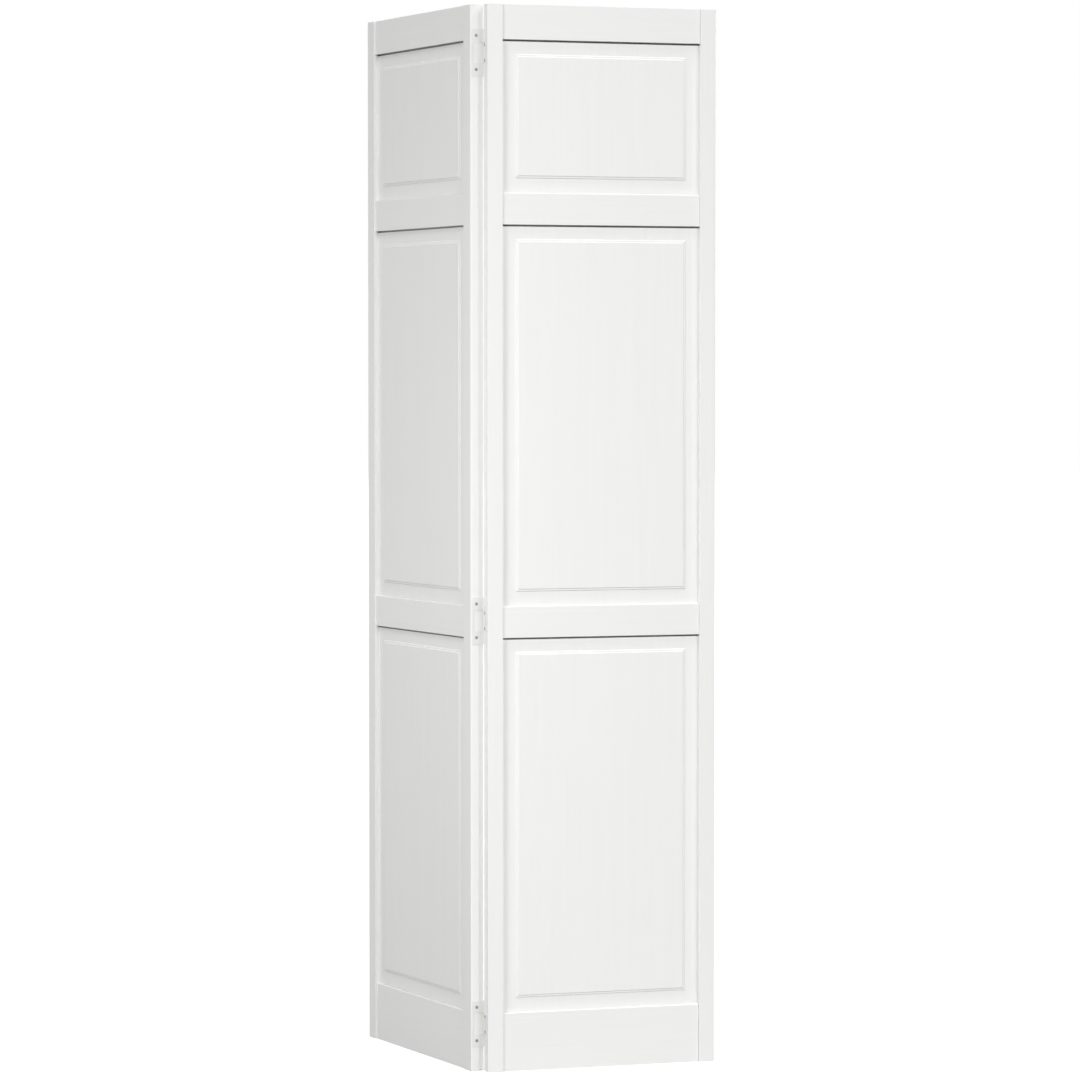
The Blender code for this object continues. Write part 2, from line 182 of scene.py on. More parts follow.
@dataclass(frozen=True)
class Finish:
    """A finish whose tint, sheen and relief follow one fine grain.

    The grain is a noise of a real length and width. Fray is how ragged it is and waver how much it
    bends. Where the finish is on boards the grain runs along each of them.
    """

    name: str
    light: str
    dark: str
    grain_length: float
    grain_width: float
    relief: float
    smoothest: float
    roughest: float
    detail: float = 2.0
    fray: float = 0.5
    waver: float = 0.0
    sheen_from: float = 0.0
    sheen_to: float = 1.0
    metallic: float = 0.0
    # The shader's own default, which metals keep
    ior: float = 1.5
    on_boards: ClassVar[bool] = False

    def spot(self, tree: NodeTree) -> NodeSocket:
        """Give the place of a point: on its board, or else on its piece.

        Args:
            tree: the material's tree.
        Returns:
            The output that holds the place.
        """
        if self.on_boards:
            return add_node(tree, "ShaderNodeAttribute", attribute_name=GRAIN_LAYER).outputs["Vector"]
        return add_node(tree, "ShaderNodeTexCoord").outputs["Object"]

    def layers(self, tree: NodeTree) -> tuple[Node, Node, Node]:
        """Draw the finish's layers.

        Args:
            tree: the material's tree.
        Returns:
            The nodes that give the colour, the pattern of the sheen and the relief.
        """
        stretch = (1 / self.grain_length, 1 / self.grain_width, 1 / self.grain_width)
        drawn = add_node(tree, "ShaderNodeMapping", {"Vector": self.spot(tree), "Scale": stretch})
        noise = {"Scale": 1.0, "Detail": self.detail, "Roughness": self.fray, "Distortion": self.waver}
        grain = add_node(tree, "ShaderNodeTexNoise", {"Vector": drawn, **noise})
        colours = {"Factor": grain, "A": linear(self.dark), "B": linear(self.light)}
        tint = add_node(tree, "ShaderNodeMix", colours, data_type="RGBA")
        relief = add_node(tree, "ShaderNodeBump", {"Distance": self.relief, "Height": grain})
        return tint, grain, relief

    def material(self) -> Material:
        """Build the finish's material.

        Returns:
            The material.
        """
        material, tree = empty_material(self.name)
        colour, pattern, relief = self.layers(tree)
        sheen = {"Value": pattern, "From Min": self.sheen_from, "From Max": self.sheen_to}
        sheen |= {"To Min": self.smoothest, "To Max": self.roughest}
        looks = {
            "Base Color": colour,
            "Roughness": add_node(tree, "ShaderNodeMapRange", sheen),
            "Normal": relief,
            "Metallic": self.metallic,
            "IOR": self.ior,
        }
        shader = add_node(tree, "ShaderNodeBsdfPrincipled", looks)
        add_node(tree, "ShaderNodeOutputMaterial", {"Surface": shader})
        return material


@dataclass(frozen=True)
class SatinPaint(Finish):
    """Satin white paint sprayed on planed pine.

    The sprayed film gives a broad soft sheen and a fine orange peel, and the pine's grain shows
    through it as a very faint relief and tint along each board. The real grain is about 1 mm wide
    and the peel about 0.8 mm. Both are drawn several times coarser, because they would not show.
    On the faces inside the panel gaps the colour is a painted shade of grey, which darkens the gaps.
    """

    light: str = "#F2F2F1"
    dark: str = "#EDEDEC"
    grain_length: float = 320.0 * MM
    grain_width: float = 6.0 * MM
    relief: float = 0.05 * MM
    smoothest: float = 0.36
    roughest: float = 0.46
    detail: float = 3.0
    fray: float = 0.6
    waver: float = 0.4
    sheen_from: float = 0.25
    sheen_to: float = 0.75
    # Painted shade: the grey that the faces inside the panel gaps get in place of the paint, to darken the
    # gap's line
    undercoat: str = "#BEBEBC"
    peel_size: float = 4.0 * MM
    peel_detail: float = 1.0
    peel_relief: float = 0.012 * MM
    on_boards: ClassVar[bool] = True

    def layers(self, tree: NodeTree) -> tuple[Node, Node, Node]:
        """Draw the grain, then the peel over it and a painted shade of grey on the faces inside the panel
        gaps.

        Args:
            tree: the material's tree.
        Returns:
            The nodes that give the colour, the pattern of the sheen and the relief.
        """
        tint, _, raised = super().layers(tree)
        noise = {"Vector": self.spot(tree), "Scale": 1 / self.peel_size, "Detail": self.peel_detail}
        peel = add_node(tree, "ShaderNodeTexNoise", noise)
        # Painted shade: faces marked as inside a panel gap take the grey instead of the paint's tint
        in_gap = add_node(tree, "ShaderNodeAttribute", attribute_name=GAP_SHADE_LAYER).outputs["Fac"]
        gap_shading = {"Factor": in_gap, "A": tint, "B": linear(self.undercoat)}
        colour = add_node(tree, "ShaderNodeMix", gap_shading, data_type="RGBA")
        dimples = {"Distance": self.peel_relief, "Height": peel, "Normal": raised}
        return colour, peel, add_node(tree, "ShaderNodeBump", dimples)


@dataclass(frozen=True)
class BakedEnamel(Finish):
    """White baked enamel on stamped steel.

    It is a little glossier than the paint beside it, with a fine even texture. The real texture is
    about 0.4 mm across and is drawn coarser so that it shows.
    """

    light: str = "#EBEBE9"
    dark: str = "#E3E3E0"
    grain_length: float = 1.2 * MM
    grain_width: float = 1.2 * MM
    relief: float = 0.006 * MM
    smoothest: float = 0.26
    roughest: float = 0.34
    ior: float = 1.52


@dataclass(frozen=True)
class PlatedSteel(Finish):
    """Steel, bare or zinc plated: a grey metal with a slightly uneven, fine-grained shine.

    The plating's grain is about 0.2 mm and is drawn coarser so that it shows on a screw head.
    """

    grain_length: float = 0.7 * MM
    grain_width: float = 0.7 * MM
    relief: float = 0.004 * MM
    smoothest: float = 0.28
    roughest: float = 0.44
    detail: float = 3.0
    metallic: float = 1.0


@dataclass(frozen=True)
class BareBeech(Finish):
    """Bare turned beech: pale tan, dull, with short darker flecks along the grain.

    A real fleck is 2 to 3 mm long and 0.3 mm wide. It is drawn wider so that it shows.
    """

    light: str = "#D3AE80"
    dark: str = "#B98C5C"
    grain_length: float = 3.0 * MM
    grain_width: float = 0.7 * MM
    relief: float = 0.02 * MM
    smoothest: float = 0.6
    roughest: float = 0.75
    on_boards: ClassVar[bool] = True


# The door's finishes, by the record's slot
FINISHES = {
    "stile_paint": SatinPaint("satin_paint_on_pine_stiles"),
    "rail_paint": SatinPaint("satin_paint_on_pine_rails"),
    "panel_paint": SatinPaint(
        "satin_paint_on_pine_panels", grain_width=9.0 * MM, smoothest=0.4, roughest=0.5
    ),
    "dowel_beech": BareBeech("bare_turned_beech"),
    "hinge_enamel": BakedEnamel("baked_enamel_on_steel"),
    "pin_steel": PlatedSteel("drawn_steel_wire", light="#C9C9C7", dark="#B4B4B2"),
    "screw_zinc": PlatedSteel("zinc_plated_steel", light="#AEAFB1", dark="#8F9092"),
}


@dataclass(frozen=True)
class Workshop:
    """What the pieces share: the materials, by the record's slot, and the trees, by what they make."""

    materials: Mapping[str, Material]
    trees: Mapping[str, NodeTree]


@dataclass(frozen=True)
class LeafPlace:
    """Where a leaf stands: the matrix from the leaf's own distances to the world, at rest."""

    leaf: Leaf
    to_world: Matrix

    @classmethod
    def from_joint(cls, leaf: Leaf, joint: Mapping[str, Any]) -> "LeafPlace":
        """Work out a leaf's place from the fold joint.

        Args:
            leaf: the leaf.
            joint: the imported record's entry for the fold.
        Returns:
            The leaf's place.
        """
        unfolded = math.radians(joint["range_deg"][1])
        turn = -unfolded if leaf is Leaf.LEFT else 0.0
        pins = Matrix.Translation(joint["pos_m"]) @ Matrix.Rotation(turn, 4, "Z")
        return cls(leaf, pins @ Matrix.Diagonal((leaf.value, 1.0, 1.0, 1.0)))

    def span(self, node: str) -> tuple[Vector, Vector]:
        """Give a node's lowest and highest corners in the leaf's own distances.

        Args:
            node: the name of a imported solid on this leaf.
        Returns:
            The two corners, each as along, y and z.
        """
        to_leaf = self.to_world.inverted()
        points = [to_leaf @ vertex.co for vertex in frame["nodes"][node].data.vertices]
        return Vector(map(min, *points)), Vector(map(max, *points))

    def near_end(self, node: str) -> Vector:
        """Give the middle of a node's end nearest the pins, in the leaf's own distances."""
        low, high = self.span(node)
        return Vector((low.x, (low.y + high.y) / 2, (low.z + high.z) / 2))

    def aim(self, way: float) -> Euler:
        """Give the turn that points z along the leaf: outwards if way is 1, to the pins if it is -1."""
        return (self.to_world.to_3x3() @ Vector((way, 0.0, 0.0))).to_track_quat("Z", "Y").to_euler()


def on_scene(data: bpy.types.ID) -> Object:
    """Put a mesh, curve, lamp or camera in the scene as an object of the same name.

    Args:
        data: the mesh, curve, lamp or camera.
    Returns:
        The object.
    """
    holder = bpy.data.objects.new(data.name, data)
    bpy.context.collection.objects.link(holder)
    return holder


def modified(
    rough: Union[Mesh, Curve], kind: str, sizes: Optional[Mapping] = None, **settings: Any
) -> Mesh:
    """Put a mesh or curve through one modifier.

    Args:
        rough: the mesh or curve, which is used up.
        kind: the modifier's type.
        sizes: values by name, with one for each named input of the modifier's node tree.
        settings: the modifier's attributes.
    Returns:
        The modified shape as a plain mesh of the same name.
    """
    holder = on_scene(rough)
    step = holder.modifiers.new(kind.lower(), kind)
    for name, value in settings.items():
        setattr(step, name, value)
    for item in step.node_group.interface.items_tree if sizes else ():
        if item.in_out == "INPUT" and item.name in sizes:
            step[item.identifier] = sizes[item.name]
    graph = bpy.context.evaluated_depsgraph_get()
    mesh = bpy.data.meshes.new_from_object(holder.evaluated_get(graph))
    name = rough.name
    bpy.data.objects.remove(holder, do_unlink=True)
    store = bpy.data.meshes if isinstance(rough, Mesh) else bpy.data.curves
    store.remove(rough)
    mesh.name = name
    return mesh


def combined(mesh: Mesh, tool: Mesh, operation: str) -> Mesh:
    """Join a mesh with a tool, or cut it with one.

    Args:
        mesh: the mesh, which is used up.
        tool: the tool, which is used up.
        operation: "UNION" or "DIFFERENCE".
    Returns:
        The resulting mesh.
    """
    cutter = on_scene(tool)
    result = modified(mesh, "BOOLEAN", operation=operation, solver="EXACT", object=cutter)
    bpy.data.objects.remove(cutter, do_unlink=True)
    bpy.data.meshes.remove(tool)
    return result


def new_tree(name: str, inputs: Mapping[Socket, Sequence[str]]) -> tuple[NodeTree, NodeOutputs]:
    """Start a Geometry Nodes tree.

    Args:
        name: the tree's name.
        inputs: the names of its inputs, by their kind.
    Returns:
        The tree and the outputs of its input node, by name.
    """
    tree = bpy.data.node_groups.new(name, "GeometryNodeTree")
    for way in ("INPUT", "OUTPUT"):
        tree.interface.new_socket("Geometry", in_out=way, socket_type="NodeSocketGeometry")
    for kind, labels in {**inputs, Socket.FINISH: ("Finish",)}.items():
        for label in labels:
            tree.interface.new_socket(label, in_out="INPUT", socket_type=kind.value)
    return tree, add_node(tree, "NodeGroupInput").outputs


def end_tree(tree: NodeTree, shape: Node, finish: NodeSocket) -> None:
    """End a Geometry Nodes tree: realize what it placed and give it its finish.

    Args:
        tree: the tree.
        shape: the node that gives the geometry.
        finish: the output that holds the material.
    """
    real = add_node(tree, "GeometryNodeRealizeInstances", {"Geometry": shape})
    dressed = add_node(tree, "GeometryNodeSetMaterial", {"Geometry": real, "Material": finish})
    add_node(tree, "NodeGroupOutput", {"Geometry": dressed})


def closed_mesh(name: str, work: BMesh) -> Mesh:
    """Turn a bmesh into a mesh with its doubles merged and its faces outwards.

    Args:
        name: the mesh's name.
        work: the bmesh, which is used up.
    Returns:
        The mesh.
    """
    bmesh.ops.remove_doubles(work, verts=work.verts, dist=MERGE_DISTANCE)
    bmesh.ops.recalc_face_normals(work, faces=work.faces)
    mesh = bpy.data.meshes.new(name)
    work.to_mesh(mesh)
    work.free()
    return mesh


def moved(mesh: Mesh, place: Matrix) -> Mesh:
    """Move a mesh by a matrix that may mirror it, and keep its faces outwards.

    Args:
        mesh: the mesh, which is used up.
        place: the matrix.
    Returns:
        The moved mesh.
    """
    work = bmesh.new()
    work.from_mesh(mesh)
    work.transform(place)
    name = mesh.name
    bpy.data.meshes.remove(mesh)
    return closed_mesh(name, work)


def shaded(mesh: Mesh) -> Mesh:
    """Shade a mesh smooth over its roundings and flat over its flats.

    Args:
        mesh: the mesh, which is used up.
    Returns:
        The shaded mesh.
    """
    mesh.shade_smooth()
    mesh.set_sharp_from_angle(angle=CREASE_ANGLE)
    return modified(mesh, "WEIGHTED_NORMAL", keep_sharp=True)


def add_skin(work: BMesh, rings: Iterable[Iterable[Sequence[float]]]) -> None:
    """Add to a bmesh a skin over rings of points, with a flat face on the first and the last.

    Args:
        work: the bmesh.
        rings: the points of each ring, all in the same order.
    """
    loops = [[work.verts.new(point) for point in ring] for ring in rings]
    for lower, upper in zip(loops, loops[1:]):
        for step in range(len(lower)):
            after = (step + 1) % len(lower)
            work.faces.new((lower[step], lower[after], upper[after], upper[step]))
    work.faces.new(reversed(loops[0]))
    work.faces.new(loops[-1])


def add_turned(work: BMesh, profile: Iterable[tuple[float, float]], sides: int, place: Matrix) -> None:
    """Add a turned solid to a bmesh.

    Args:
        work: the bmesh.
        profile: (radius, distance along the axis) from end to end.
        sides: the number of facets round the axis.
        place: the matrix that puts the axis in place.
    """
    turns = [2 * math.pi * step / sides for step in range(sides)]
    rings = []
    for radius, distance in profile:
        points = [Vector((radius * math.cos(turn), radius * math.sin(turn), distance)) for turn in turns]
        rings.append([place @ point for point in points])
    add_skin(work, rings)


def rounded_outline(corners: Sequence[tuple[float, float, float]], steps: int = 6) -> list[tuple]:
    """Round the corners of a flat outline.

    Args:
        corners: each corner's two coordinates and its radius, in order round the outline.
        steps: the number of chords in each rounded corner.
    Returns:
        The outline's points.
    """
    outline = []
    for index, (first, second, radius) in enumerate(corners):
        corner = Vector((first, second))
        before = (Vector(corners[index - 1][:2]) - corner).normalized()
        after = (Vector(corners[(index + 1) % len(corners)][:2]) - corner).normalized()
        if radius == 0.0:
            outline.append(tuple(corner))
            continue
        half = before.angle(after) / 2
        centre = corner + (before + after).normalized() * (radius / math.sin(half))
        start = corner + before * (radius / math.tan(half)) - centre
        end = corner + after * (radius / math.tan(half)) - centre
        for step in range(steps + 1):
            outline.append(tuple(centre + start.slerp(end, step / steps) * radius))
    return outline


def lay_grain(mesh: Mesh, place: LeafPlace, grain: Grain, board: int) -> Mesh:
    """Store on each vertex its place on its board, in metres: along the grain, across it and through it.

    Args:
        mesh: the mesh, in the world.
        place: the leaf that the board is on.
        grain: the way the grain runs.
        board: the board's number, which shifts its pattern.
    Returns:
        The same mesh.
    """
    to_leaf = place.to_world.inverted()
    values = []
    for vertex in mesh.vertices:
        along, y, z = to_leaf @ vertex.co
        run, across = (z, along) if grain is Grain.UPRIGHT else (along, z)
        values += [run + board * BOARD_STEP, across + board * BOARD_STEP, y]
    layer = mesh.attributes.new(GRAIN_LAYER, "FLOAT_VECTOR", "POINT")
    layer.data.foreach_set("vector", values)
    return mesh


@dataclass
class Piece:
    """A piece of the door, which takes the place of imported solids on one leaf.

    Its node starts its name and its ending ends it. Its slot is the record's material slot.
    """

    shop: Workshop
    place: LeafPlace
    node: str
    slot: ClassVar[str]
    ending: ClassVar[str]

    def solids(self) -> list[str]:
        """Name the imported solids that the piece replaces."""
        return [self.node]

    def sizes(self, **measured: Any) -> dict[str, Any]:
        """Gather the values for a tree's inputs, by the inputs' names.

        Args:
            measured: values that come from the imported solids.
        Returns:
            These values, the piece's own fields and its finish.
        """
        own = {field.name: getattr(self, field.name) for field in fields(self)}
        values = {**own, **measured, "finish": self.shop.materials[self.slot]}
        return {name.replace("_", " ").title(): value for name, value in values.items()}

    def build(self) -> Mesh:
        """Make the piece's mesh, in the world."""
        raise NotImplementedError

    def dress(self) -> None:
        """Build the piece, give it its finish and the body it rides on, and hide the solids it stands for."""
        mesh = self.build()
        mesh.name = f"{self.node}_{self.ending}"
        mesh.materials.clear()
        mesh.materials.append(self.shop.materials[self.slot])
        piece = on_scene(mesh)
        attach(piece, self.place.leaf.body)
        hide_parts(*self.solids())
        LOG.info("%s rides on %s, %d faces", piece.name, self.place.leaf.body, len(mesh.polygons))


@dataclass
class Board(Piece):
    """A painted board, with the number that shifts its grain."""

    board: int
    ending: ClassVar[str] = "painted"


@dataclass
class Stile(Board):
    """An upright member: a bar with rounded arrises, grooved along one edge and drilled for its fixings."""

    dowels: list[str]
    screws: list[str]
    pins: list[str]
    ease: float = 1.8 * MM
    panel_ease: float = 0.8 * MM
    fold_ease: float = 0.3 * MM
    groove_depth: float = 9.0 * MM
    groove_width: float = 10.5 * MM
    end_ease: float = 0.3 * MM
    bore_clearance: float = 0.15 * MM
    shank_radius: float = 1.5 * MM
    relief_radius: float = 2.5 * MM
    relief_past: float = 0.5 * MM
    bore_sides: int = 32
    slot: ClassVar[str] = "stile_paint"

    def outline(self, shrink: float) -> list[tuple]:
        """Draw the stile's section as (along, y), from its plain front edge.

        Args:
            shrink: how far the section is drawn in on every side.
        Returns:
            The section's points.
        """
        low, high = self.place.span(self.node)
        # The groove is on the side that the dowels come out of
        groove_ahead = self.place.span(self.dowels[0])[1].x > high.x
        plain, grooved = (low.x, high.x) if groove_ahead else (high.x, low.x)
        inward = math.copysign(1.0, grooved - plain)
        plain += inward * shrink
        grooved -= inward * shrink
        front, back = low.y + shrink, high.y - shrink
        floor = grooved - inward * self.groove_depth
        middle = (low.y + high.y) / 2
        half = self.groove_width / 2 + shrink
        return rounded_outline(
            (
                (plain, front, self.ease),
                (grooved, front, self.panel_ease),
                (grooved, middle - half, 0.0),
                (floor, middle - half, 0.0),
                (floor, middle + half, 0.0),
                (grooved, middle + half, 0.0),
                (grooved, back, self.panel_ease),
                (plain, back, self.fold_ease if self.pins else self.ease),
            )
        )

    def bores(self) -> BMesh:
        """Make the cutters for dowels, hinge screws and knuckles.

        Returns:
            The cutters, in the leaf's own distances.
        """
        work = bmesh.new()
        sideways = Matrix.Rotation(QUARTER_TURN, 4, "Y")
        for node in self.dowels + self.screws:
            low, high = self.place.span(node)
            radius = self.shank_radius if node in self.screws else (high.y - low.y) / 2
            ends = (-self.bore_clearance, high.x - low.x)
            start = Matrix.Translation(self.place.near_end(node)) @ sideways
            add_turned(work, [(radius + self.bore_clearance, end) for end in ends], self.bore_sides, start)
        for node in self.pins:
            low, high = self.place.span(node)
            ends = (low.z - self.relief_past, high.z + self.relief_past)
            add_turned(work, [(self.relief_radius, end) for end in ends], self.bore_sides, Matrix())
        return work

    def build(self) -> Mesh:
        """Draw the bar between its broken ends, then drill it.

        Returns:
            The stile's mesh, in the world.
        """
        low, high = self.place.span(self.node)
        ease = self.end_ease
        cuts = ((low.z, ease), (low.z + ease, 0.0), (high.z - ease, 0.0), (high.z, ease))
        work = bmesh.new()
        add_skin(work, [[(along, y, z) for along, y in self.outline(shrink)] for z, shrink in cuts])
        mesh = combined(closed_mesh(self.node, work), closed_mesh("bores", self.bores()), "DIFFERENCE")
        return lay_grain(shaded(moved(mesh, self.place.to_world)), self.place, Grain.UPRIGHT, self.board)


@dataclass
class Rail(Board):
    """A level member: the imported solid, with its tenons and grooves, and its four long edges rounded."""

    upper_ease: float = 2.0 * MM
    lower_ease: float = 0.8 * MM
    end_ease: float = 0.3 * MM
    segments: int = 3
    slack: float = 0.05 * MM
    slot: ClassVar[str] = "rail_paint"

    def rounding(self, edge: BMEdge) -> float:
        """Give the radius of an edge: the long outer edges are rounded, most of all on top.

        Args:
            edge: an edge of the merged solid, in the world.
        Returns:
            The radius, or 0 for an edge that stays sharp.
        """
        if not edge.is_manifold or edge.calc_face_angle_signed() < CREASE_ANGLE:
            return 0.0
        low, high = self.place.span(self.node)
        to_leaf = self.place.to_world.inverted()
        points = [to_leaf @ vertex.co for vertex in edge.verts]
        on_face = all(min(point.y - low.y, high.y - point.y) < self.slack for point in points)
        on_edge = all(min(point.z - low.z, high.z - point.z) < self.slack for point in points)
        if not on_face or not on_edge or abs(points[0].x - points[1].x) < self.slack:
            return 0.0
        if min(points[0].z - CAD_BOX[0][2], CAD_BOX[1][2] - points[0].z) < self.slack:
            return self.end_ease
        return self.upper_ease if high.z - points[0].z < self.slack else self.lower_ease

    def build(self) -> Mesh:
        """Merge a copy of the solid and round its long edges.

        Returns:
            The rail's mesh, in the world.
        """
        work = bmesh.new()
        work.from_mesh(frame["nodes"][self.node].data)
        bmesh.ops.remove_doubles(work, verts=work.verts, dist=MERGE_DISTANCE)
        bmesh.ops.dissolve_limit(work, angle_limit=FLAT_ANGLE, verts=work.verts, edges=work.edges)
        share = work.edges.layers.float.new("bevel_weight_edge")
        for edge in work.edges:
            edge[share] = self.rounding(edge) / self.upper_ease
        mesh = bpy.data.meshes.new(self.node)
        work.to_mesh(mesh)
        work.free()
        rounds = {"limit_method": "WEIGHT", "width": self.upper_ease, "segments": self.segments}
        mesh = shaded(modified(mesh, "BEVEL", **rounds))
        return lay_grain(mesh, self.place, Grain.LEVEL, self.board)


@dataclass
class RaisedPanel(Board):
    """A panel raised on both faces: a moulded section swept round a rectangle by Geometry Nodes.

    From its edge inwards the section has a tongue, a flat margin, two small moulded steps with a
    ledge between them, and the raised field. A narrow gap along the top of the front makes the dark
    line under the rail above, and painted shade on the gap's faces darkens that line further.
    """

    edge_depth: float = 9.9 * MM
    edge_ease: float = 0.6 * MM
    tongue: float = 8.0 * MM
    margin: float = 26.5 * MM
    steps: int = 2
    step_run: float = 2.0 * MM
    step_rise: float = 1.5 * MM
    ledge: float = 2.0 * MM
    step_chords: int = 8
    gap_height: float = 3.2 * MM
    gap_depth: float = 7.5 * MM
    gap_past: float = 1.0 * MM
    slot: ClassVar[str] = "panel_paint"

    def face_section(self) -> list[tuple[float, float]]:
        """Draw one face's section, from the tongue's edge to the field.

        Returns:
            The section's points, as (inset, depth).
        """
        half = self.edge_depth / 2
        points = [(0.0, half - self.edge_ease), (self.edge_ease, half)]
        inset, depth = self.tongue + self.margin, half
        for _ in range(self.steps):
            for chord in range(self.step_chords + 1):
                share = chord / self.step_chords
                climb = (1 - math.cos(math.pi * share)) / 2
                points.append((inset + share * self.step_run, depth + climb * self.step_rise))
            inset += self.step_run + self.ledge
            depth += self.step_rise
        return points

    def section(self) -> Curve:
        """Draw the whole section: outwards is +x, and the front face is -y.

        Returns:
            The section as a curve.
        """
        face = self.face_section()
        points = [(-inset, -depth) for inset, depth in reversed(face)]
        points += [(-inset, depth) for inset, depth in face]
        curve = bpy.data.curves.new(self.node, "CURVE")
        curve.dimensions = "3D"
        spline = curve.splines.new("POLY")
        spline.points.add(len(points) - 1)
        for point, (across, depth) in zip(spline.points, points):
            point.co = (across, depth, 0.0, 1.0)
        return curve

    @staticmethod
    def tree() -> NodeTree:
        """Make the tree that sweeps the section round a rectangle and closes it with the two fields.

        Returns:
            The tree.
        """
        lengths = ("Width", "Height", "Field Inset", "Field Depth")
        tree, sizes = new_tree("raised_panel", {Socket.LENGTH: lengths})
        sides = {label: sizes[label] for label in ("Width", "Height")}
        outline = add_node(tree, "GeometryNodeCurvePrimitiveQuadrilateral", sides)
        # Every point of the outline is a corner, where a mitre is the root of 2 wider than the section
        wider = {"Geometry": sizes["Geometry"], "Scale": (math.sqrt(2.0), 1.0, 1.0)}
        mitred = add_node(tree, "GeometryNodeTransform", wider)
        shapes = [add_node(tree, "GeometryNodeCurveToMesh", {"Curve": outline, "Profile Curve": mitred})]
        lost = add_node(tree, "ShaderNodeMath", {0: sizes["Field Inset"], 1: 2.0}, operation="MULTIPLY")
        grid = {"Vertices X": 2, "Vertices Y": 2}
        for side, label in (("Size X", "Width"), ("Size Y", "Height")):
            grid[side] = add_node(tree, "ShaderNodeMath", {0: sizes[label], 1: lost}, operation="SUBTRACT")
        field = add_node(tree, "GeometryNodeMeshGrid", grid)
        for way in (1.0, -1.0):
            depth = add_node(tree, "ShaderNodeMath", {0: sizes["Field Depth"], 1: way}, operation="MULTIPLY")
            raised = add_node(tree, "ShaderNodeCombineXYZ", {"Z": depth})
            shapes.append(add_node(tree, "GeometryNodeTransform", {"Geometry": field, "Translation": raised}))
        joined = add_node(tree, "GeometryNodeJoinGeometry", {0: shapes})
        close = {"Geometry": joined, "Distance": MERGE_DISTANCE}
        end_tree(tree, add_node(tree, "GeometryNodeMergeByDistance", close), sizes["Finish"])
        return tree

    def cut_gap(self, mesh: Mesh) -> Mesh:
        """Cut the gap along the top of the front, and mark its faces for the painted shade that darkens it.

        Args:
            mesh: the panel, in the leaf's own distances, which is used up.
        Returns:
            The cut panel.
        """
        low, high = self.place.span(self.node)
        front = (low.y + high.y) / 2 - self.edge_depth / 2
        past = self.gap_past
        corner = Vector((low.x - past, front - past, high.z - self.tongue - self.gap_height))
        size = Vector((high.x - low.x + 2 * past, self.gap_depth + past, self.gap_height + past))
        work = bmesh.new()
        place = Matrix.Translation(corner + size / 2) @ Matrix.Diagonal((*size, 1.0))
        bmesh.ops.create_cube(work, size=1.0, matrix=place)
        mesh = combined(mesh, closed_mesh("gap", work), "DIFFERENCE")
        # Painted shade: the faces inside the gap are marked here, and the paint's material turns them grey
        marks = mesh.attributes.new(GAP_SHADE_LAYER, "FLOAT", "FACE")
        near = MERGE_DISTANCE
        for face, mark in zip(mesh.polygons, marks.data):
            inside = face.center - corner
            mark.value = float(all(-near < at < end + near for at, end in zip(inside, size)))
        return mesh

    def build(self) -> Mesh:
        """Sweep the panel, cut its gap and put it in its leaf.

        Returns:
            The panel's mesh, in the world.
        """
        low, high = self.place.span(self.node)
        width, _, height = high - low
        inset, depth = self.face_section()[-1]
        sizes = self.sizes(width=width, height=height, field_inset=inset, field_depth=depth)
        upright = Matrix.Translation((low + high) / 2) @ Matrix.Rotation(QUARTER_TURN, 4, "X")
        mesh = modified(self.section(), "NODES", sizes, node_group=self.shop.trees["panel"])
        mesh = shaded(moved(self.cut_gap(moved(mesh, upright)), self.place.to_world))
        return lay_grain(mesh, self.place, Grain.UPRIGHT, self.board)


@dataclass
class SmallParts(Piece):
    """Small parts of one leaf, all alike, shaped once and set on points by Geometry Nodes."""

    nodes: list[str]

    def solids(self) -> list[str]:
        """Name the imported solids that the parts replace."""
        return self.nodes

    def set_on(self, points: Iterable[Vector], tree: NodeTree, **measured: Any) -> Mesh:
        """Set the parts on points.

        Args:
            points: where they go, in the leaf's own distances.
            tree: the tree that shapes and sets them.
            measured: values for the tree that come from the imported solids.
        Returns:
            One mesh of them all, in the world.
        """
        seed = bpy.data.meshes.new(self.node)
        seed.from_pydata([self.place.to_world @ point for point in points], [], [])
        mesh = modified(seed, "NODES", self.sizes(**measured), node_group=tree)
        return shaded(moved(mesh, Matrix()))


